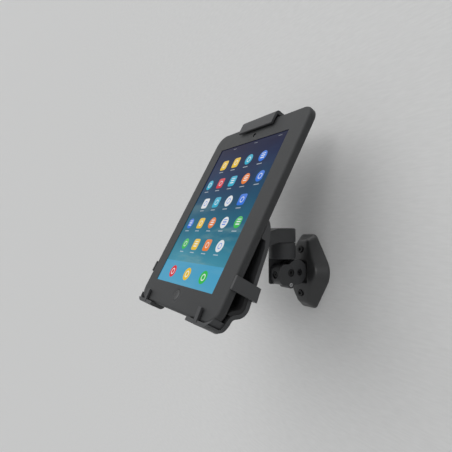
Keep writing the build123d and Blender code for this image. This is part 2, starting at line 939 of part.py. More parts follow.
def side_clip(side):
    """One side clip: the arm along the case's edge and the leg screwed to the back of the shell."""
    half = side_clip_height / 2
    top = side_clip_up + half
    bottom = side_clip_up - half
    outer_x = case_width / 2 + slip + side_clip_wall
    arm_x = outer_x - side_clip_wall if side > 0 else -outer_x
    leg_x = case_width / 2 - side_clip_leg if side > 0 else -outer_x
    front = -case_lip
    with BuildPart() as clip:
        with BuildSketch(side_on(arm_x)) as arm:
            with BuildLine():
                Polyline(
                    (front, top),
                    (outer_depth(top) + side_clip_wall, top),
                    (outer_depth(bottom) + side_clip_wall, bottom),
                    (front, bottom),
                    close=True,
                )
            make_face()
        extrude(amount=side_clip_wall)
        with BuildSketch(side_on(leg_x)):
            with BuildLine():
                Polyline(
                    (outer_depth(top), top),
                    (outer_depth(top) + side_clip_wall, top),
                    (outer_depth(bottom) + side_clip_wall, bottom),
                    (outer_depth(bottom), bottom),
                    close=True,
                )
            make_face()
        extrude(amount=outer_x - case_width / 2 + side_clip_leg)
        for place in side_clip_screw_places():
            with BuildSketch(place):
                Circle(side_clip_screw_radius + seat)
            extrude(amount=-side_clip_wall, mode=Mode.SUBTRACT)
        fillet(clip.edges().filter_by(Axis.X).group_by(Axis.Y)[0], radius=0.6)
    return clip.part


def side_clip_screws():
    return socket_screws(
        side_clip_screw_places(),
        side_clip_screw_radius,
        side_clip_wall + side_clip_screw_grip - 2 * slip,
        side_clip_screw_head_radius,
        side_clip_screw_head,
        taper=12,
    )


# Spring clip on the top edge
def top_clip():
    """The hook over the top edge and the strap that slides in the rail, in one piece."""
    lip_inner = -case_lip - clip_stand
    lip_outer = lip_inner - clip_thickness
    roof_inner = case_half + clip_roof_gap
    roof_outer = roof_inner + clip_roof
    strap_back = strap_front() + strap_thickness
    with BuildPart() as clip:
        with BuildSketch(side_on(-clip_width / 2)) as profile:
            with BuildLine():
                Polyline(
                    (lip_inner, clip_bottom),
                    (lip_outer, clip_bottom),
                    (lip_outer, roof_outer),
                    (strap_back, roof_outer),
                    (strap_back, roof_inner - clip_roof),
                    (strap_front(), roof_inner - clip_roof),
                    (strap_front(), roof_inner),
                    (lip_inner, roof_inner),
                    close=True,
                )
            make_face()
            fillet(profile.vertices().group_by(Axis.Y)[0], radius=clip_thickness / 3)
            roof_corners = profile.vertices().group_by(Axis.Y)[-1].sort_by(Axis.X)
            fillet(roof_corners[0], radius=clip_corner_radius)
            fillet(roof_corners[-1], radius=clip_corner_radius / 2)
        extrude(amount=clip_width)
        with BuildSketch(behind(strap_back)):
            with Locations((0, strap_bottom + slip)):
                Rectangle(
                    strap_width,
                    roof_inner - strap_bottom - slip,
                    align=(Align.CENTER, Align.MIN),
                )
        extrude(amount=strap_thickness)
        with BuildSketch(behind(pocket_floor() - slip)):
            with Locations((0, tab_up)):
                Rectangle(tab_width, tab_height, align=(Align.CENTER, Align.MIN))
        extrude(amount=pocket_floor() - slip - strap_front())
    return clip.part


def clip_springs():
    """The envelope of each tension spring, from the pocket's end up to the tab."""
    depth = pocket_floor() - pocket_depth / 2
    with BuildPart() as springs:
        for side in (1, -1):
            start = face.from_local_coords((side * spring_spacing / 2, spring_bottom, -depth))
            with BuildSketch(Plane(origin=start, x_dir=(1, 0, 0), z_dir=face.y_dir)):
                Circle(spring_radius)
            extrude(amount=tab_up - spring_bottom)
    return springs.part


# Case and tablet
def case_outline(shrink=0):
    with BuildSketch() as outline:
        RectangleRounded(
            case_width - 2 * shrink, case_length - 2 * shrink, case_corner_radius - shrink
        )
    return outline.sketch


def case_front():
    """The front shell: a frame round the screen, its side walls and the dish of the home button."""
    with BuildPart() as front:
        with BuildSketch(behind(tablet_thickness)):
            add(case_outline())
        extrude(amount=tablet_thickness + case_lip)
        rim = front.faces().sort_by(Axis(face.origin, face.z_dir))[-1]
        fillet(rim.edges(), radius=case_front_edge)
        with BuildSketch(behind(tablet_thickness)):
            RectangleRounded(
                tablet_width + 2 * seat, tablet_length + 2 * seat, tablet_corner_radius
            )
        extrude(amount=tablet_thickness, mode=Mode.SUBTRACT)
        with BuildSketch(face):
            Rectangle(screen_width, screen_length)
        extrude(amount=case_lip, mode=Mode.SUBTRACT)
        with BuildSketch(face):
            with Locations((0, camera_up)):
                Circle(camera_window)
            with Locations((0, -button_down)):
                Circle(button_radius + slip)
        extrude(amount=case_lip, mode=Mode.SUBTRACT)
        with BuildSketch(behind(-case_lip)):
            with Locations((0, -button_down)):
                Circle(dish_radius)
        with BuildSketch(behind(-0.2 * case_lip)):
            with Locations((0, -button_down)):
                Circle(button_radius + slip)
        loft(mode=Mode.SUBTRACT)
    return front.part


def case_rear():
    """The back panel of the case, with a rounded edge."""
    with BuildPart() as back:
        with BuildSketch(behind(case_back)):
            add(case_outline())
        extrude(amount=case_back_wall)
        rim = back.faces().sort_by(Axis(face.origin, face.z_dir))[0]
        fillet(rim.edges(), radius=case_back_edge)
    return back.part


def tablet_body():
    """The tablet behind its glass, with the seat of the home button."""
    with BuildPart() as body:
        with BuildSketch(behind(tablet_thickness)):
            RectangleRounded(tablet_width, tablet_length, tablet_corner_radius)
        extrude(amount=tablet_thickness - glass_thickness)
        with BuildSketch(behind(glass_thickness)):
            with Locations((0, -button_down)):
                Circle(button_radius + slip)
        extrude(amount=-2 * button_travel, mode=Mode.SUBTRACT)
    return body.part


def display_glass():
    with BuildPart() as glass:
        with BuildSketch(behind(glass_thickness)):
            RectangleRounded(tablet_width, tablet_length, tablet_corner_radius)
            with Locations((0, -button_down)):
                Circle(button_radius + slip, mode=Mode.SUBTRACT)
            with Locations((0, camera_up)):
                Circle(camera_radius, mode=Mode.SUBTRACT)
        extrude(amount=glass_thickness)
    return glass.part


def camera_lens():
    with BuildPart() as lens:
        with BuildSketch(behind(glass_thickness)):
            with Locations((0, camera_up)):
                Circle(camera_radius)
        extrude(amount=glass_thickness - seat)
    return lens.part


def home_button():
    """A round button with a shallow hollow on its face."""
    with BuildPart() as button:
        with BuildSketch(behind(glass_thickness + button_travel / 2)):
            with Locations((0, -button_down)):
                Circle(button_radius)
        extrude(amount=glass_thickness + button_travel)
        hollow = 40
        centre = face.from_local_coords((0, -button_down, hollow - 0.1))
        with Locations(centre):
            Sphere(hollow, mode=Mode.SUBTRACT)
    return button.part


arm_side = arm_outline()

save(wall_plate(), "wall_plate")
save(wall_screws(), "wall_screws")
save(arm_cheek_right(arm_side), "arm_cheek_right")
save(arm_cheek_left(arm_side), "arm_cheek_left")
save(arm_spacer(arm_side), "arm_spacer")
save(arm_end_cover(arm_side), "arm_end_cover")
save(
    socket_screws(
        [end_face().offset(-end_recess_depth)],
        end_screw_radius,
        end_screw_length,
        end_screw_head_radius,
        end_screw_head,
    ),
    "end_cover_screw",
)
save(
    socket_screws(
        [across(arm_near - wall_bolt_sink - wall_bolt_head, wall_pivot, 0)],
        pivot_bolt_radius,
        arm_near - wall_bolt_sink - wall_bolt_head + arm_far,
        wall_bolt_head_radius,
        wall_bolt_head,
    ),
    "wall_pivot_bolt",
)
save(
    socket_screws(
        [across(arm_near - head_bolt_sink - head_bolt_head, head_pivot, 0)],
        head_bolt_radius,
        arm_near - head_bolt_sink - head_bolt_head - knuckle_face + head_bolt_grip,
        head_bolt_head_radius,
        head_bolt_head,
    ),
    "head_pivot_bolt",
)
save(arm_nut(), "arm_nut")
save(
    socket_screws(
        [across(arm_near - lock_screw_head, head_pivot, -lock_screw_drop)],
        lock_screw_radius,
        arm_near - lock_screw_head + arm_far - seat,
        lock_screw_head_radius,
        lock_screw_head,
        taper=8,
    ),
    "lock_screw",
)
save(wall_friction_washers(), "wall_friction_washers")
save(head_friction_washer(), "head_friction_washer")
save(knuckle(), "knuckle")
save(swivel_washer_ring(), "swivel_washer")
save(swivel_bolt(), "swivel_bolt")
save(swivel_nut(), "swivel_nut")
save(swivel_head(), "swivel_head")
save(flange_screws(), "flange_screws")
save(cradle_shell(), "cradle_shell")
save(support_liner(), "support_liner")
save(rail_cover(), "rail_cover")
save(rail_screws(), "rail_screws")
save(side_clip(1), "side_clip_right")
save(side_clip(-1), "side_clip_left")
save(side_clip_screws(), "side_clip_screws")
save(top_clip(), "top_clip")
save(clip_springs(), "clip_springs")
save(case_front(), "case_front")
save(case_rear(), "case_back")
save(tablet_body(), "tablet_body")
save(display_glass(), "display_glass")
save(camera_lens(), "camera_lens")
save(home_button(), "home_button")
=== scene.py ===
import math
import bmesh
import bpy
import numpy as np
from mathutils import Matrix, Vector


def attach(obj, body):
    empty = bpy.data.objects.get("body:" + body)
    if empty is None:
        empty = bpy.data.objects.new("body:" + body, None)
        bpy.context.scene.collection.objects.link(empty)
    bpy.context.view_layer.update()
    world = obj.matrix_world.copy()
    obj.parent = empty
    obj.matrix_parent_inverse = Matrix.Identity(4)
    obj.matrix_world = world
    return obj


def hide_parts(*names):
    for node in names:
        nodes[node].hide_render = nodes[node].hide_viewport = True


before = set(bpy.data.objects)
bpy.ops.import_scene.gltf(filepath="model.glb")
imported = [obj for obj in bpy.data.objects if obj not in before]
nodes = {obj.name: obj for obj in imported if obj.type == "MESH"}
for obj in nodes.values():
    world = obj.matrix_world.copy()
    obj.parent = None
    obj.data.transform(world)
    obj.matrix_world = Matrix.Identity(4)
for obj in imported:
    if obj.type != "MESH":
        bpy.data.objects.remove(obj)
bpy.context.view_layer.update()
scene = bpy.context.scene
print("frame loaded:", len(nodes), "nodes")

# the plane of the display: its middle, the way up it and the way out of it
tilt = math.radians(29)
faceMiddle = Vector((0, -0.140, 0.0785))
faceUp = Vector((0, math.sin(tilt), math.cos(tilt)))
faceOut = Vector((0, -math.cos(tilt), math.sin(tilt)))


# camera
photoView = {
    "place": (0.43464, -0.38311, 0.0557),
    "azimuth": 59.736, "elevation": -0.51,  # degrees, from the front to the right, and up
    "sensor": 36, "lens": 33.508,  # millimetres
    "shiftX": 0.0, "shiftY": -0.0011,
    "clip": (0.01, 60),
}


# looks from (sin a cos e, -cos a cos e, sin e), with (cos a, sin a, 0) to its right
def makeCamera(view):
    data = bpy.data.cameras.new("photoCamera")
    data.sensor_width = view["sensor"]
    data.lens = view["lens"]
    data.shift_x = view["shiftX"]
    data.shift_y = view["shiftY"]
    data.clip_start, data.clip_end = view["clip"]
    a, e = math.radians(view["azimuth"]), math.radians(view["elevation"])
    back = Vector((math.sin(a) * math.cos(e), -math.cos(a) * math.cos(e), math.sin(e)))
    right = Vector((math.cos(a), math.sin(a), 0))
    up = back.cross(right)
    turned = Matrix((right, up, back)).transposed()
    camera = bpy.data.objects.new("photoCamera", data)
    camera.matrix_world = Matrix.Translation(view["place"]) @ turned.to_4x4()
    scene.collection.objects.link(camera)
    scene.camera = camera


makeCamera(photoView)
print("camera placed")


# mesh helpers
# a mesh in an object of its own, at the origin
def addPiece(name, mesh):
    piece = bpy.data.objects.new(name, mesh)
    scene.collection.objects.link(piece)
    return piece


# a mesh of points, rows of (x, y, z), and faces, lists of point numbers
def makeMesh(name, points, faces):
    mesh = bpy.data.meshes.new(name)
    mesh.from_pydata(np.asarray(points, dtype=float).tolist(), [], faces)
    mesh.update()
    return mesh


# quads of a grid of rows x columns points: each point with its neighbour along and the two in the next row
def gridQuads(rows, columns):
    i, j = np.meshgrid(np.arange(rows - 1), np.arange(columns), indexing="ij")
    a = i * columns + j
    b = i * columns + (j + 1) % columns
    return np.stack([a, b, b + columns, a + columns], axis=-1).reshape(-1, 4).tolist()


# shader helpers
# adds a node, sets its properties, then its inputs: a value, or a socket to link from
def put(tree, kind, at=(0, 0), inputs=None, **settings):
    node = tree.nodes.new(kind)
    node.location = at
    for name, value in settings.items():
        setattr(node, name, value)
    for name, value in (inputs or {}).items():
        if isinstance(value, bpy.types.NodeSocket):
            tree.links.new(value, node.inputs[name])
        else:
            node.inputs[name].default_value = value
    return node


# one Math node, returned as its output socket
def calc(tree, operation, a, b=0.0, c=0.0, clamp=False):
    return put(tree, "ShaderNodeMath", operation=operation, use_clamp=clamp,
               inputs={0: a, 1: b, 2: c}).outputs[0]


# value carried from the range (low, high) to another one, and kept inside it
def remap(tree, value, source, target=(0.0, 1.0), kind="LINEAR"):
    return put(tree, "ShaderNodeMapRange", interpolation_type=kind, inputs={
        "Value": value, "From Min": source[0], "From Max": source[1],
        "To Min": target[0], "To Max": target[1]}).outputs[0]


# 1 where low < value < high
def between(tree, value, low, high):
    return calc(tree, "MULTIPLY", calc(tree, "GREATER_THAN", value, low), calc(tree, "LESS_THAN", value, high))


# the length of one vector along another: a . b
def dot(tree, a, b):
    return put(tree, "ShaderNodeVectorMath", operation="DOT_PRODUCT", inputs={0: a, 1: b}).outputs["Value"]


# a + fac (b - a)
def mixColour(tree, fac, a, b):
    return put(tree, "ShaderNodeMix", data_type="RGBA", inputs={0: fac, 6: a, 7: b}).outputs[2]


# the place on the unmoved piece, in metres
def objectPlace(tree):
    return put(tree, "ShaderNodeTexCoord").outputs["Object"]


# noise at a place: more holds any further inputs by name
def noise(tree, place, scale, detail, **more):
    return put(tree, "ShaderNodeTexNoise", inputs={
        "Vector": place, "Scale": scale, "Detail": detail, **more}).outputs["Fac"]


# a colour ramp: stops are (place, colour)
def ramp(tree, fac, stops, interpolation="LINEAR"):
    node = put(tree, "ShaderNodeValToRGB", inputs={0: fac})
    band = node.color_ramp
    band.interpolation = interpolation
    while len(band.elements) < len(stops):
        band.elements.new(0.5)
    for element, (place, colour) in zip(band.elements, stops):
        element.position = place
        element.color = (*colour, 1)
    return node.outputs[0]


# an empty group with its sockets: takes are (name, default), gives are (name, kind)
def newGroup(name, takes, gives):
    group = bpy.data.node_groups.new(name, "ShaderNodeTree")
    for label, value in takes:
        group.interface.new_socket(label, in_out="INPUT", socket_type="NodeSocketFloat").default_value = value
    for label, kind in gives:
        group.interface.new_socket(label, in_out="OUTPUT", socket_type="NodeSocket" + kind)
    return group, group.nodes.new("NodeGroupInput"), group.nodes.new("NodeGroupOutput")


# spark-eroded mould texture
grainPlan = {
    "pitDetail": 3.0, "pitRoughness": 0.62,
    "cellScale": 0.7, "cellBlend": 0.6, "cellHeight": 0.6,  # against the pits
    "patchDetail": 4.0, "patchRoughness": 0.55,
}


# height = pits + cellHeight x distance to the nearest cell's middle; tone = a slow noise
def makeGrain(values):
    group, start, end = newGroup("mouldGrain", [("Grain Size", 0.0006), ("Patch Size", 0.03)],
                                 [("Height", "Float"), ("Tone", "Float")])
    place = objectPlace(group)
    fine = calc(group, "DIVIDE", 1.0, start.outputs["Grain Size"])
    slow = calc(group, "DIVIDE", 1.0, start.outputs["Patch Size"])
    pits = noise(group, place, fine, values["pitDetail"], Roughness=values["pitRoughness"])
    cells = put(group, "ShaderNodeTexVoronoi", feature="SMOOTH_F1", inputs={
        "Vector": place, "Scale": calc(group, "MULTIPLY", fine, values["cellScale"]),
        "Smoothness": values["cellBlend"]}).outputs["Distance"]
    height = calc(group, "MULTIPLY_ADD", cells, values["cellHeight"], pits)
    patches = noise(group, place, slow, values["patchDetail"], Roughness=values["patchRoughness"])
    group.links.new(height, end.inputs["Height"])
    group.links.new(patches, end.inputs["Tone"])
    return group


# edge rounding, and a lighter colour along edges: rub wear, and on the wall plate a painted highlight
edgePlan = {
    "gain": 5.0, "rays": 4,
    "patchScale": 120.0, "patchDetail": 5.0, "patchRoughness": 0.7, "patchGain": 1.4, "patchBlend": 0.2,
}


# normal = the Bevel one; mask = amount x patches x gain x (1 - bevelled normal . true normal)
def makeEdges(values):
    group, start, end = newGroup("edgeRubAndHighlight", [("Radius", 0.0004), ("Amount", 0.5)],
                                 [("Normal", "Vector"), ("Mask", "Float")])
    soft = put(group, "ShaderNodeBevel", samples=values["rays"], inputs={"Radius": start.outputs["Radius"]})
    true = put(group, "ShaderNodeNewGeometry")
    along = dot(group, soft.outputs[0], true.outputs["Normal"])
    bent = calc(group, "MULTIPLY", calc(group, "SUBTRACT", 1.0, along), values["gain"], clamp=True)
    patchy = noise(group, objectPlace(group), values["patchScale"], values["patchDetail"],
                   Roughness=values["patchRoughness"])
    patchy = calc(group, "SMOOTH_MIN", calc(group, "MULTIPLY", patchy, values["patchGain"]), 1.0,
                  values["patchBlend"])
    mask = calc(group, "MULTIPLY", calc(group, "MULTIPLY", bent, patchy), start.outputs["Amount"], clamp=True)
    group.links.new(soft.outputs[0], end.inputs["Normal"])
    group.links.new(mask, end.inputs["Mask"])
    return group


# fine dust on what faces up
dustPlan = {
    "facing": (0.45, 0.98),  # the normal's height: none, all
    "speckScale": 900.0, "speckDetail": 4.0, "speckRoughness": 0.8,
    "driftScale": 35.0, "driftDetail": 3.0,
}


# mask = amount x specks x drift x a smooth step of the normal's height
def makeDust(values):
    group, start, end = newGroup("settledDust", [("Amount", 0.2)], [("Mask", "Float")])
    true = put(group, "ShaderNodeNewGeometry")
    up = put(group, "ShaderNodeSeparateXYZ", inputs={0: true.outputs["Normal"]}).outputs[2]
    flat = remap(group, up, values["facing"], kind="SMOOTHSTEP")
    place = objectPlace(group)
    specks = noise(group, place, values["speckScale"], values["speckDetail"], Roughness=values["speckRoughness"])
    drift = noise(group, place, values["driftScale"], values["driftDetail"])
    mask = calc(group, "MULTIPLY", calc(group, "MULTIPLY", specks, drift), flat)
    mask = calc(group, "MULTIPLY", mask, start.outputs["Amount"], clamp=True)
    group.links.new(mask, end.inputs["Mask"])
    return group


grainGroup = makeGrain(grainPlan)
edgeGroup = makeEdges(edgePlan)
dustGroup = makeDust(dustPlan)
print("shader groups ready")


# solid finishes: what an entry of the next dictionary doesn't name is taken from here
usualLook = {
    "vary": 0.12, "roughSpread": 0.12, "metal": 0.0, "shine": 0.5, "coat": 0.0,
    "patch": 0.03, "toneRange": (0.3, 0.7), "depth": 0.00008, "coatRough": 0.15,
    "polish": 0.12,  # taken off the roughness along the edge mask: rubbed edges, and the wall plate's painted highlight
    "dustColour": (0.28, 0.27, 0.26),
}
finishes = {
    "casePlastic": {
        "nodes": ["case_front", "case_back"],
        "colour": (0.032, 0.033, 0.034), "rough": 0.5, "grain": 0.00055, "bump": 0.3, "shine": 0.3,
        "rubAndHighlightColour": (0.16, 0.16, 0.165), "edge": 0.0006, "rubAndHighlight": 0.25, "dust": 0.1,
    },
    "cradlePlastic": {
        "nodes": ["cradle_shell", "rail_cover", "top_clip"],
        "colour": (0.036, 0.037, 0.039), "rough": 0.5, "grain": 0.0007, "bump": 0.35,
        "rubAndHighlightColour": (0.10, 0.10, 0.105), "edge": 0.0005, "rubAndHighlight": 0.35, "dust": 0.12,
    },
    "platePlastic": {  # a wide edge: its bevelled normal softens the ridge, and its pale edge colour paints a highlight along the ridge
        "nodes": ["wall_plate"],
        "colour": (0.019, 0.0195, 0.020), "rough": 0.36, "grain": 0.0006, "bump": 0.14, "shine": 0.6,
        # the strong pale edge colour here is a painted highlight, not wear
        "rubAndHighlightColour": (0.11, 0.11, 0.112), "edge": 0.0026, "rubAndHighlight": 0.9, "dust": 0.08, "roughSpread": 0.06,
    },
    "armCoat": {
        "nodes": ["arm_cheek_right", "arm_cheek_left", "arm_spacer", "arm_end_cover", "knuckle", "swivel_head"],
        "colour": (0.040, 0.041, 0.043), "rough": 0.48, "grain": 0.0009, "bump": 0.3,
        "rubAndHighlightColour": (0.13, 0.13, 0.135), "edge": 0.0005, "rubAndHighlight": 0.5, "dust": 0.15,
    },
    "clipCoat": {
        "nodes": ["side_clip_right", "side_clip_left"],
        "colour": (0.040, 0.041, 0.043), "rough": 0.46, "grain": 0.0006, "bump": 0.25,
        "rubAndHighlightColour": (0.14, 0.14, 0.145), "edge": 0.0004, "rubAndHighlight": 0.5, "dust": 0.1,
    },
    "blackSteel": {
        "nodes": ["wall_screws", "end_cover_screw", "flange_screws", "rail_screws", "side_clip_screws",
                  "head_pivot_bolt", "wall_pivot_bolt", "swivel_bolt", "arm_nut", "swivel_nut"],
        "colour": (0.012, 0.012, 0.013), "rough": 0.34, "grain": 0.0003, "bump": 0.15, "metal": 0.35,
        "rubAndHighlightColour": (0.30, 0.30, 0.31), "edge": 0.0002, "rubAndHighlight": 0.6, "dust": 0.05,
    },
    "brightSteel": {
        "nodes": ["lock_screw"],
        "colour": (0.50, 0.50, 0.51), "rough": 0.3, "grain": 0.0004, "bump": 0.12, "metal": 1.0,
        "rubAndHighlightColour": (0.75, 0.75, 0.76), "edge": 0.0002, "rubAndHighlight": 0.4, "dust": 0.03, "vary": 0.08,
    },
    "washerPolymer": {
        "nodes": ["wall_friction_washers", "head_friction_washer", "swivel_washer"],
        "colour": (0.02, 0.02, 0.021), "rough": 0.55, "grain": 0.0005, "bump": 0.2,
        "rubAndHighlightColour": (0.05, 0.05, 0.05), "edge": 0.0002, "rubAndHighlight": 0.2, "dust": 0.0,
    },
    "linerRubber": {
        "nodes": ["support_liner"],
        "colour": (0.022, 0.022, 0.023), "rough": 0.75, "grain": 0.0012, "bump": 0.45,
        "rubAndHighlightColour": (0.05, 0.05, 0.05), "edge": 0.0006, "rubAndHighlight": 0.2, "dust": 0.2, "shine": 0.25,
    },
    "tabletAluminium": {
        "nodes": ["tablet_body"],
        "colour": (0.33, 0.34, 0.35), "rough": 0.38, "grain": 0.0002, "bump": 0.15, "metal": 1.0,
        "rubAndHighlightColour": (0.5, 0.5, 0.51), "edge": 0.0003, "rubAndHighlight": 0.3, "dust": 0.0, "vary": 0.05,
    },
    "buttonGloss": {
        "nodes": ["home_button"],
        "colour": (0.012, 0.012, 0.013), "rough": 0.16, "grain": 0.0015, "bump": 0.03,
        "rubAndHighlightColour": (0.03, 0.03, 0.03), "edge": 0.0003, "rubAndHighlight": 0.2, "dust": 0.05, "coat": 0.5,
        "roughSpread": 0.06,
    },
    "lensGlass": {
        "nodes": ["camera_lens"],
        "colour": (0.006, 0.006, 0.010), "rough": 0.06, "grain": 0.0008, "bump": 0.01,
        "rubAndHighlightColour": (0.02, 0.02, 0.04), "edge": 0.0002, "rubAndHighlight": 0.3, "dust": 0.0, "coat": 1.0,
        "roughSpread": 0.03,
    },
}


# colour = patches between (1 - vary) and (1 + vary) of its own, then the edges' lighter colour (rub wear; on the
# wall plate a painted highlight), then dust on top;
# roughness = its own, up or down by half the spread with the patches, less the polish along those edges
def finishMaterial(name, entry):
    look = {**usualLook, **entry}
    material = bpy.data.materials.new(name)
    material.use_nodes = True
    tree = material.node_tree
    surface = tree.nodes["Principled BSDF"]
    grain = put(tree, "ShaderNodeGroup", node_tree=grainGroup, inputs={
        "Grain Size": look["grain"], "Patch Size": look["patch"]})
    edges = put(tree, "ShaderNodeGroup", node_tree=edgeGroup, inputs={
        "Radius": look["edge"], "Amount": look["rubAndHighlight"]})
    dust = put(tree, "ShaderNodeGroup", node_tree=dustGroup, inputs={"Amount": look["dust"]})
    low, high = look["toneRange"]
    dark, pale = (tuple(c * (1 + change) for c in look["colour"]) for change in (-look["vary"], look["vary"]))
    base = ramp(tree, grain.outputs["Tone"], [(low, dark), (high, pale)])
    # the edge mask mixes in the lighter edge colour: rub wear, and on the wall plate a painted highlight
    rubbedAndHighlit = mixColour(tree, edges.outputs["Mask"], base, (*look["rubAndHighlightColour"], 1))
    dusty = mixColour(tree, dust.outputs["Mask"], rubbedAndHighlit, (*look["dustColour"], 1))
    tree.links.new(dusty, surface.inputs["Base Color"])
    half = look["roughSpread"] / 2
    rough = remap(tree, grain.outputs["Tone"], (low, high), (look["rough"] - half, look["rough"] + half))
    polish = calc(tree, "MULTIPLY", edges.outputs["Mask"], look["polish"])
    tree.links.new(calc(tree, "SUBTRACT", rough, polish, clamp=True), surface.inputs["Roughness"])
    surface.inputs["Metallic"].default_value = look["metal"]
    surface.inputs["Specular IOR Level"].default_value = look["shine"]
    surface.inputs["Coat Weight"].default_value = look["coat"]
    surface.inputs["Coat Roughness"].default_value = look["coatRough"]
    bump = put(tree, "ShaderNodeBump", inputs={
        "Strength": look["bump"], "Distance": look["depth"],
        "Height": grain.outputs["Height"], "Normal": edges.outputs["Normal"]})
    tree.links.new(bump.outputs[0], surface.inputs["Normal"])
    return material


# gives every slot of the named solids one material
def dress(names, material):
    for name in names:
        for slot in nodes[name].material_slots:
            slot.material = material


coats = {}
for name, look in finishes.items():
    coats[name] = finishMaterial(name, look)
    dress(look["nodes"], coats[name])
print("finishes on the rigid nodes")


# the arm's round wall end: a smaller disc than the solid's, standing clear of the dish
armEnd = {
    "nodes": ["arm_cheek_right", "arm_cheek_left"],
    "middle": (-0.0305, 0.0005), "radius": 0.0160,  # (y, z)
    "fillFrom": 0.0098,  # height from which the disc is filled up over the arm's top
    "steps": 48, "far": 0.03, "over": 0.002,  # of the cutting block: its size, and past the cheek's sides
    "join": 1e-6, "merge": 1e-5, "flat": 0.6, "sharp": 30,  # metres, metres, degrees, degrees
}


# a prism along X: the outline's (y, z) points, anticlockwise from the right, at both ends
def prismPiece(name, outline, low, high):
    count = len(outline)
    points = np.empty((2 * count, 3))
    points[:count, 0], points[count:, 0] = low, high
    points[:, 1:] = np.tile(outline, (2, 1))
    ring = np.arange(count)
    return addPiece(name, makeMesh(name, points, [ring[::-1].tolist(), (ring + count).tolist()]
                                   + gridQuads(2, count)))


# a copy of a solid with its double points joined
def copySolid(node, name, join):
    mesh = nodes[node].data.copy()
    work = bmesh.new()
    work.from_mesh(mesh)
    bmesh.ops.remove_doubles(work, verts=work.verts, dist=join)
    work.to_mesh(mesh)
    work.free()
    return addPiece(name, mesh)


# clears what a boolean leaves: doubles, slivers, cuts across flat faces, and normals that the import had fixed
def tidyShape(mesh, merge, flat):
    work = bmesh.new()
    work.from_mesh(mesh)
    bmesh.ops.remove_doubles(work, verts=work.verts, dist=merge)
    bmesh.ops.dissolve_degenerate(work, edges=work.edges, dist=merge)
    bmesh.ops.dissolve_limit(work, verts=work.verts, edges=work.edges, angle_limit=math.radians(flat))
    bmesh.ops.triangulate(work, faces=work.faces, quad_method="BEAUTY", ngon_method="BEAUTY")
    work.to_mesh(mesh)
    work.free()
    for label in [a.name for a in mesh.attributes if "normal" in a.name]:
        mesh.attributes.remove(mesh.attributes[label])


# what is beyond the disc's right half goes: a block with the half circle y = cy + r cos a, z = cz + r sin a
# cut in it; what the disc has above the arm comes on as a segment of the same circle
def roundArm(values):
    y, z = values["middle"]
    r, far, over = values["radius"], values["far"], values["over"]
    half = np.linspace(np.pi / 2, -np.pi / 2, values["steps"])
    notch = np.vstack([[(y, z - far), (y + far, z - far), (y + far, z + far), (y, z + far)],
                       np.stack([y + r * np.cos(half), z + r * np.sin(half)], axis=-1)])
    start = np.arcsin((values["fillFrom"] - z) / r)
    top = np.linspace(start, np.pi - start, values["steps"])
    segment = np.stack([y + r * np.cos(top), z + r * np.sin(top)], axis=-1)
    for node in values["nodes"]:
        piece = copySolid(node, node + "_round", values["join"])
        across = [corner.co.x for corner in piece.data.vertices]
        low, high = min(across), max(across)
        tools = [("DIFFERENCE", prismPiece("notchTool", notch, low - over, high + over)),
                 ("UNION", prismPiece("segmentTool", segment, low, high))]
        for operation, tool in tools:
            step = piece.modifiers.new(operation, "BOOLEAN")
            step.operation = operation
            step.solver = "EXACT"
            step.object = tool
        shape = bpy.data.meshes.new_from_object(piece.evaluated_get(bpy.context.evaluated_depsgraph_get()))
        piece.modifiers.clear()
        piece.data = shape
        for operation, tool in tools:
            bpy.data.objects.remove(tool)
        tidyShape(shape, values["merge"], values["flat"])
        shape.materials.clear()
        shape.materials.append(coats["armCoat"])
        shape.shade_smooth()
        shape.set_sharp_from_angle(angle=math.radians(values["sharp"]))
        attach(piece, "arm")
        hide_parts(node)


roundArm(armEnd)
print("arm end rounded")


# ends of the ledges, drawn round the case's lower corners
ledgeEnd = {
    "across": 0.083, "up": -0.110,  # middle of the case's corner, on the face plane
    "inner": 0.01715, "outer": 0.0214, "endOuter": 0.01755,  # radii
    "start": 276.0, "end": 214.0,  # degrees on the left corner
    "front": 0.0033, "frontEnd": 0.0012, "back": -0.0150, "steps": 36,
    "lateness": 1.6,  # over 1, the band thins out later
    "soft": 0.0005, "softSteps": 3, "softFrom": 40,
}


# a band carried along the arc (r cos a, r sin a): its outer radius and its front fall by
# 1/2 - 1/2 cos(pi s^lateness) to the far end
def makeLedgeEnds(values):
    across, up, out = np.array((1.0, 0, 0)), np.array(faceUp), np.array(faceOut)
    share = np.linspace(0, 1, values["steps"])
    fall = 0.5 - 0.5 * np.cos(np.pi * share ** values["lateness"])
    angle = np.radians(values["start"] + share * (values["end"] - values["start"]))
    outer = values["outer"] + fall * (values["endOuter"] - values["outer"])
    front = values["front"] + fall * (values["frontEnd"] - values["front"])
    inner = np.full_like(outer, values["inner"])
    back = np.full_like(outer, values["back"])
    radii = np.stack([inner, inner, outer, outer], axis=-1)
    depths = np.stack([back, front, front, back], axis=-1)
    last = 4 * (values["steps"] - 1)
    faces = gridQuads(values["steps"], 4) + [[3, 2, 1, 0], [last, last + 1, last + 2, last + 3]]
    for side, name in ((-1, "ledge_end_left"), (1, "ledge_end_right")):
        x = values["across"] * side - side * radii * np.cos(angle)[:, None]
        u = values["up"] + radii * np.sin(angle)[:, None]
        points = np.array(faceMiddle) + x[..., None] * across + u[..., None] * up + depths[..., None] * out
        mesh = makeMesh(name, points.reshape(-1, 3), faces)
        work = bmesh.new()
        work.from_mesh(mesh)
        bmesh.ops.recalc_face_normals(work, faces=work.faces)
        work.to_mesh(mesh)
        work.free()
        piece = addPiece(name, mesh)
        mesh.materials.append(coats["cradlePlastic"])
        soften = piece.modifiers.new("soften", "BEVEL")
        soften.width, soften.segments, soften.limit_method = values["soft"], values["softSteps"], "ANGLE"
        soften.angle_limit = math.radians(values["softFrom"])
        mesh.shade_smooth()
        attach(piece, "head")


makeLedgeEnds(ledgeEnd)
print("ledge ends drawn")


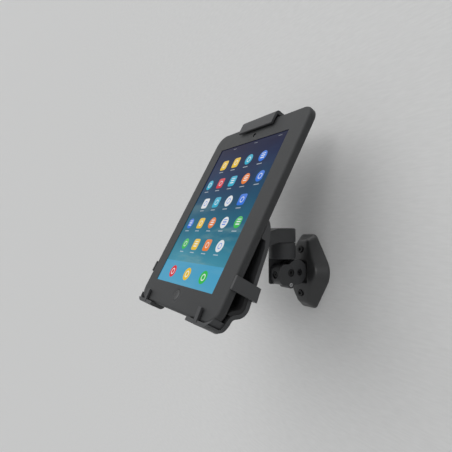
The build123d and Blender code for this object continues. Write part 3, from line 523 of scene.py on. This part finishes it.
# display: a generic home page of round and square tiles, with lengths in millimetres from its middle
display = {
    "halfWidth": 73.9, "halfHeight": 98.55, "border": 0.5, "borderColour": (0.004, 0.004, 0.005, 1),
    "glow": 0.78, "dimmed": 0.92,  # emission; share taken off the picture as a base colour
    "smearScale": 45.0, "smearDetail": 4.0, "smearTwist": 0.8, "smears": (0.35, 0.7), "rough": (0.07, 0.13),
    "shine": 0.14,  # bonded, coated glass reflects less
}
skyPlan = {
    "bands": [(0.0, (0.07, 0.34, 0.46)), (0.16, (0.04, 0.27, 0.38)), (0.34, (0.008, 0.15, 0.24)),
              (0.55, (0.003, 0.070, 0.145)), (0.78, (0.004, 0.020, 0.080)), (1.0, (0.006, 0.006, 0.038))],
    "driftScale": 14.0, "driftDetail": 3.0, "driftRoughness": 0.5, "driftTwist": 0.6, "driftShare": 0.22,
    "veilTurn": 25, "veilScale": (7.0, 26.0, 40.0), "veilDetail": 5.0, "veilRoughness": 0.6,
    "veil": (0.46, 0.74), "veilMost": 0.75, "veilColour": (0.26, 0.42, 0.40, 1),
    "veilHeights": (30.0, -60.0), "veilShares": (0.05, 1.0),  # fewer veils higher up
}
tilePlan = {
    "pitch": 29.0, "radius": 7.6, "top": 84.0, "bottom": -61.0, "halfWidth": 64.0,
    "rowShift": 0.5, "seed": 3.0,
    "squareOver": 0.45, "squarePower": 5.0,  # the share of round tiles, and the power of the others
    "colours": [(0.0, (0.80, 0.82, 0.84)), (0.2, (0.01, 0.16, 0.72)), (0.32, (0.03, 0.50, 0.07)),
                (0.44, (0.85, 0.20, 0.01)), (0.56, (0.01, 0.42, 0.62)), (0.68, (0.70, 0.02, 0.04)),
                (0.80, (0.85, 0.55, 0.02)), (0.90, (0.32, 0.04, 0.50))],
    "whiteShare": 0.2, "sheen": 0.10, "sheenColour": (0.9, 0.95, 1.0, 1),
    "ring": (3.0, 4.0), "barHalf": (3.8, 4.2), "barRate": 2.0, "ringOver": 0.5,
    "sign": 0.85, "signColour": (0.88, 0.92, 0.95, 1),
    "lineHeights": (-11.4, -10.2), "lineHalf": 5.0, "line": 0.45, "lineColour": (0.85, 0.9, 0.95, 1),
}
shelfPlan = {
    "top": -70.0, "share": 0.62, "colour": (0.07, 0.40, 0.68, 1),
    "pitch": 40.0, "up": -84.0, "radius": 8.0, "halfWidth": 60.0, "seed": 7.3,
    "ring": (3.0, 4.4), "ringShare": 0.8, "ringColour": (0.9, 0.93, 0.95, 1),
    "dashHeights": (93.8, 94.8), "dashRate": 0.13, "dashOver": 0.9, "dash": 0.25, "dashColour": (0.8, 0.85, 0.9, 1),
}
tileRim = 0.5  # width of a tile's soft rim
discPower = 2.0  # a superellipse of this power is a circle


# a rounded tile: the superellipse |x|^p + |y|^p under radius^p, with a soft rim
def tileMask(tree, across, up, radius, power):
    ax = calc(tree, "POWER", calc(tree, "ABSOLUTE", across), power)
    ay = calc(tree, "POWER", calc(tree, "ABSOLUTE", up), power)
    far = calc(tree, "POWER", calc(tree, "ADD", ax, ay), calc(tree, "DIVIDE", 1.0, power))
    return remap(tree, far, (radius, radius - tileRim), kind="SMOOTHSTEP")


# the disc of the outer radius less that of the inner one
def ringMask(tree, across, up, radii):
    inner, outer = (tileMask(tree, across, up, radius, discPower) for radius in radii)
    return calc(tree, "SUBTRACT", outer, inner, clamp=True)


# from -half a pitch to half a pitch in each cell: (fraction - 1/2) x pitch
def inCell(tree, place, pitch):
    return calc(tree, "MULTIPLY", calc(tree, "SUBTRACT", calc(tree, "FRACT", place), 0.5), pitch)


# a vertical ramp of colours bent by slow noise, with pale veils that thin out upwards
def skyPicture(tree, values, place, up):
    drift = noise(tree, place, values["driftScale"], values["driftDetail"],
                  Roughness=values["driftRoughness"], Distortion=values["driftTwist"])
    share = remap(tree, up, (-display["halfHeight"], display["halfHeight"]))
    bend = calc(tree, "MULTIPLY", calc(tree, "SUBTRACT", drift, 0.5), values["driftShare"])
    sky = ramp(tree, calc(tree, "ADD", share, bend), values["bands"])
    veilPlace = put(tree, "ShaderNodeMapping", inputs={
        "Vector": place, "Rotation": (0.0, math.radians(values["veilTurn"]), 0.0),
        "Scale": values["veilScale"]}).outputs[0]
    veil = noise(tree, veilPlace, 1.0, values["veilDetail"], Roughness=values["veilRoughness"])
    veil = remap(tree, veil, values["veil"], (0.0, values["veilMost"]), kind="SMOOTHSTEP")
    low = remap(tree, up, values["veilHeights"], values["veilShares"])
    return mixColour(tree, calc(tree, "MULTIPLY", veil, low), sky, values["veilColour"])


# tiles: every second row is shifted, and each cell draws its own colour, form and sign
def addTiles(tree, values, picture, side, up):
    rowPlace = calc(tree, "DIVIDE", calc(tree, "SUBTRACT", up, values["bottom"]), values["pitch"])
    row = calc(tree, "FLOOR", rowPlace)
    shift = calc(tree, "MULTIPLY", calc(tree, "MODULO", row, 2.0), values["rowShift"])
    columnPlace = calc(tree, "ADD", calc(tree, "DIVIDE", side, values["pitch"]), shift)
    column = calc(tree, "FLOOR", columnPlace)
    across = inCell(tree, columnPlace, values["pitch"])
    upward = inCell(tree, rowPlace, values["pitch"])
    cell = put(tree, "ShaderNodeCombineXYZ", inputs={0: column, 1: row, 2: values["seed"]}).outputs[0]
    draw = put(tree, "ShaderNodeTexWhiteNoise", noise_dimensions="3D", inputs={"Vector": cell})
    pick = put(tree, "ShaderNodeSeparateColor", inputs={0: draw.outputs["Color"]}).outputs
    isSquare = calc(tree, "GREATER_THAN", pick[1], values["squareOver"])
    power = calc(tree, "MULTIPLY_ADD", isSquare, values["squarePower"] - discPower, discPower)
    inside = calc(tree, "MULTIPLY", between(tree, up, values["bottom"], values["top"]),
                  between(tree, side, -values["halfWidth"], values["halfWidth"]))
    tile = calc(tree, "MULTIPLY", tileMask(tree, across, upward, values["radius"], power), inside)
    colour = ramp(tree, draw.outputs["Value"], values["colours"], "CONSTANT")
    sheen = remap(tree, upward, (-values["radius"], values["radius"]), (0.0, values["sheen"]))
    colour = mixColour(tree, sheen, colour, values["sheenColour"])

    # the sign on a tile is a ring or bars: white, or on a white tile any other of the colours
    ring = ringMask(tree, across, upward, values["ring"])
    barAcross, barUp = values["barHalf"]
    wave = calc(tree, "SINE", calc(tree, "MULTIPLY", upward, values["barRate"]))
    bars = calc(tree, "MULTIPLY", between(tree, across, -barAcross, barAcross),
                calc(tree, "GREATER_THAN", wave, 0.0))
    bars = calc(tree, "MULTIPLY", bars, between(tree, upward, -barUp, barUp))
    useRing = calc(tree, "GREATER_THAN", pick[2], values["ringOver"])
    sign = calc(tree, "ADD", calc(tree, "MULTIPLY", ring, useRing),
                calc(tree, "MULTIPLY", bars, calc(tree, "SUBTRACT", 1.0, useRing)), clamp=True)
    isWhite = calc(tree, "LESS_THAN", draw.outputs["Value"], values["whiteShare"])
    other = calc(tree, "MULTIPLY_ADD", pick[0], 1 - values["whiteShare"], values["whiteShare"])
    signColour = mixColour(tree, isWhite, values["signColour"], ramp(tree, other, values["colours"], "CONSTANT"))
    colour = mixColour(tree, calc(tree, "MULTIPLY", sign, values["sign"]), colour, signColour)
    picture = mixColour(tree, tile, picture, colour)
    line = calc(tree, "MULTIPLY", between(tree, upward, *values["lineHeights"]),
                between(tree, across, -values["lineHalf"], values["lineHalf"]))
    line = calc(tree, "MULTIPLY", calc(tree, "MULTIPLY", line, inside), values["line"])
    return mixColour(tree, line, picture, values["lineColour"])


# shelf along the bottom with three round buttons, and a thin strip of dashes along the top
def addShelf(tree, values, picture, side, up):
    shelf = calc(tree, "LESS_THAN", up, values["top"])
    picture = mixColour(tree, calc(tree, "MULTIPLY", shelf, values["share"]), picture, values["colour"])
    place = calc(tree, "ADD", calc(tree, "DIVIDE", side, values["pitch"]), 0.5)
    across = inCell(tree, place, values["pitch"])
    upward = calc(tree, "SUBTRACT", up, values["up"])
    knob = calc(tree, "MULTIPLY", tileMask(tree, across, upward, values["radius"], discPower),
                between(tree, side, -values["halfWidth"], values["halfWidth"]))
    draw = put(tree, "ShaderNodeTexWhiteNoise", noise_dimensions="1D", inputs={
        "W": calc(tree, "ADD", calc(tree, "FLOOR", place), values["seed"])}).outputs["Value"]
    picture = mixColour(tree, knob, picture, ramp(tree, draw, tilePlan["colours"], "CONSTANT"))
    ring = calc(tree, "MULTIPLY", ringMask(tree, across, upward, values["ring"]), knob)
    picture = mixColour(tree, calc(tree, "MULTIPLY", ring, values["ringShare"]), picture, values["ringColour"])
    wave = calc(tree, "SINE", calc(tree, "MULTIPLY", side, values["dashRate"]))
    dashes = calc(tree, "MULTIPLY", between(tree, up, *values["dashHeights"]),
                  calc(tree, "GREATER_THAN", wave, values["dashOver"]))
    return mixColour(tree, calc(tree, "MULTIPLY", dashes, values["dash"]), picture, values["dashColour"])


# glows with the picture, dark outside it; side and up are the place's lengths along the display's own axes
def displayMaterial(values):
    material = bpy.data.materials.new("displayGlow")
    material.use_nodes = True
    tree = material.node_tree
    surface = tree.nodes["Principled BSDF"]
    place = objectPlace(tree)
    offset = put(tree, "ShaderNodeVectorMath", operation="SUBTRACT", inputs={
        0: place, 1: tuple(faceMiddle)}).outputs[0]
    side = dot(tree, offset, (1000, 0, 0))  # millimetres
    up = dot(tree, offset, tuple(faceUp * 1000))
    picture = skyPicture(tree, skyPlan, place, up)
    picture = addTiles(tree, tilePlan, picture, side, up)
    picture = addShelf(tree, shelfPlan, picture, side, up)
    wide, high = values["halfWidth"] + values["border"], values["halfHeight"] + values["border"]
    onScreen = calc(tree, "MULTIPLY", between(tree, side, -wide, wide), between(tree, up, -high, high))
    picture = mixColour(tree, onScreen, values["borderColour"], picture)
    tree.links.new(mixColour(tree, values["dimmed"], picture, (0.0, 0.0, 0.0, 1)), surface.inputs["Base Color"])
    tree.links.new(picture, surface.inputs["Emission Color"])
    surface.inputs["Emission Strength"].default_value = values["glow"]
    smears = noise(tree, place, values["smearScale"], values["smearDetail"], Distortion=values["smearTwist"])
    tree.links.new(remap(tree, smears, values["smears"], values["rough"]), surface.inputs["Roughness"])
    surface.inputs["Specular IOR Level"].default_value = values["shine"]
    return material


dress(["display_glass"], displayMaterial(display))
print("display drawn")


# springs behind the case: real coils in place of the solid ones
springs = {
    "across": 6.5e-3, "radius": 1.75e-3, "wire": 0.35e-3, "turns": 46, "stepsPerTurn": 12, "rim": 10,
    "bottom": -0.0178, "top": 0.0298, "depth": 0.01595,
    "look": {
        "colour": (0.46, 0.46, 0.47), "rough": 0.26, "grain": 0.0003, "bump": 0.08, "metal": 1.0,
        "rubAndHighlightColour": (0.7, 0.7, 0.71), "edge": 0.0001, "rubAndHighlight": 0.2, "dust": 0.0, "vary": 0.08,
    },
}


# a tube on a path: at each point the two directions square to the tangent carry a circle
def tubeMesh(name, path, radius, rim):
    tangent = np.gradient(path, axis=0)
    tangent /= np.linalg.norm(tangent, axis=1)[:, None]
    guide = np.tile(np.array(faceOut), (len(path), 1))
    first = np.cross(tangent, guide)
    first /= np.linalg.norm(first, axis=1)[:, None]
    second = np.cross(tangent, first)
    turn = np.linspace(0, 2 * np.pi, rim, endpoint=False)
    ring = np.cos(turn)[None, :, None] * first[:, None, :] + np.sin(turn)[None, :, None] * second[:, None, :]
    points = (path[:, None, :] + radius * ring).reshape(-1, 3)
    ends = [list(range(rim))[::-1], list(range((len(path) - 1) * rim, len(path) * rim))]
    return makeMesh(name, points, gridQuads(len(path), rim) + ends)


# a helix round the spring's axis: the angle grows evenly while the point climbs from bottom to top
def makeSprings(values):
    steel = finishMaterial("springSteel", values["look"])
    share = np.linspace(0, 1, values["turns"] * values["stepsPerTurn"] + 1)
    angle = share * values["turns"] * 2 * np.pi
    climb = values["bottom"] + share * (values["top"] - values["bottom"])
    across, up, out = np.array((1.0, 0, 0)), np.array(faceUp), np.array(faceOut)
    for side, name in ((1, "tension_spring_right"), (-1, "tension_spring_left")):
        middle = np.array(faceMiddle) + side * values["across"] * across - values["depth"] * out
        swing = np.cos(angle)[:, None] * across + np.sin(angle)[:, None] * out[None, :]
        path = middle[None, :] + climb[:, None] * up[None, :] + values["radius"] * swing
        mesh = tubeMesh("tensionSpring", path, values["wire"], values["rim"])
        mesh.shade_smooth()
        mesh.materials.append(steel)
        coil = addPiece(name, mesh)
        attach(coil, "head")
        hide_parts("clip_springs")


makeSprings(springs)
print("springs wound")


# stage: the wall behind the plate, and a floor far below it
stagePlan = {
    "left": -18.0, "right": 7.0, "top": 7.0, "floorLevel": -9.0, "room": 9.0,
    "wallGap": 0.0004,  # behind the plate's back, so that the two never share a plane
    "colour": (0.60, 0.60, 0.595), "vary": 0.03, "rough": 0.8, "shine": 0.2,
    "grainStretch": (1.0, 1.0, 6.0), "grainScale": 60.0, "grainDetail": 3.0, "grainRange": (0.3, 0.7),
    "bump": 0.2, "depth": 0.0005,
}


# pale paint with a faint roller grain; clear from behind and to the light, so that the part's back is lit and seen
def stageMaterial(name, values):
    material = bpy.data.materials.new(name)
    material.use_nodes = True
    tree = material.node_tree
    surface = tree.nodes["Principled BSDF"]
    stretched = put(tree, "ShaderNodeMapping", inputs={
        "Vector": objectPlace(tree), "Scale": values["grainStretch"]}).outputs[0]
    grain = noise(tree, stretched, values["grainScale"], values["grainDetail"])
    dark, pale = (tuple(c * (1 + change) for c in values["colour"]) for change in (-values["vary"], values["vary"]))
    low, high = values["grainRange"]
    tree.links.new(ramp(tree, grain, [(low, dark), (high, pale)]), surface.inputs["Base Color"])
    surface.inputs["Roughness"].default_value = values["rough"]
    surface.inputs["Specular IOR Level"].default_value = values["shine"]
    bump = put(tree, "ShaderNodeBump", inputs={
        "Strength": values["bump"], "Distance": values["depth"], "Height": grain})
    tree.links.new(bump.outputs[0], surface.inputs["Normal"])
    clear = put(tree, "ShaderNodeBsdfTransparent")
    path = put(tree, "ShaderNodeLightPath")
    seen = calc(tree, "MAXIMUM", path.outputs["Is Camera Ray"], path.outputs["Is Glossy Ray"])
    facing = calc(tree, "SUBTRACT", 1.0, put(tree, "ShaderNodeNewGeometry").outputs["Backfacing"])
    sided = put(tree, "ShaderNodeMixShader", inputs={
        0: calc(tree, "MULTIPLY", seen, facing), 1: clear.outputs[0], 2: surface.outputs[0]})
    tree.links.new(sided.outputs[0], tree.nodes["Material Output"].inputs["Surface"])
    return material


# two rectangles that meet at the wall's foot
def makeStage(values):
    left, right, level = values["left"], values["right"], values["floorLevel"]
    gap, top, room = values["wallGap"], values["top"], -values["room"]
    corners = {
        "stageWall": [(left, gap, level), (right, gap, level), (right, gap, top), (left, gap, top)],
        "stageFloor": [(left, gap, level), (left, room, level), (right, room, level), (right, gap, level)],
    }
    wall, floor = (addPiece(name, makeMesh(name, points, [(0, 1, 2, 3)])) for name, points in corners.items())
    paint = stageMaterial("stagePaint", values)
    for piece in (wall, floor):
        piece.data.materials.append(paint)


makeStage(stagePlan)

# light: a wide soft sun from above and in front, a narrow low one that draws the ridges, a pale world
suns = {
    "key": {"from": (-0.16, -0.66, 0.73), "spread": 80, "strength": 1.62},  # degrees, watts per square metre
    "low": {"from": (0.53, -0.84, 0.13), "spread": 18, "strength": 0.55},
}
skyLight = {"colour": (0.80, 0.81, 0.82), "strength": 0.57}


# each sun shines along minus its from
def makeSuns(plan):
    for name, sun in plan.items():
        data = bpy.data.lights.new(name, "SUN")
        data.energy = sun["strength"]
        data.angle = math.radians(sun["spread"])
        piece = addPiece(name, data)
        piece.location = Vector(sun["from"]) * 2
        piece.rotation_mode = "QUATERNION"
        piece.rotation_quaternion = Vector(sun["from"]).to_track_quat("Z", "Y")


# one even colour from all sides
def makeWorld(values):
    world = bpy.data.worlds.new("paleWorld")
    world.use_nodes = True
    background = world.node_tree.nodes["Background"]
    background.inputs["Color"].default_value = (*values["colour"], 1)
    background.inputs["Strength"].default_value = values["strength"]
    scene.world = world


makeSuns(suns)
makeWorld(skyLight)
scene.view_settings.view_transform = "Standard"
print("stage and light set")
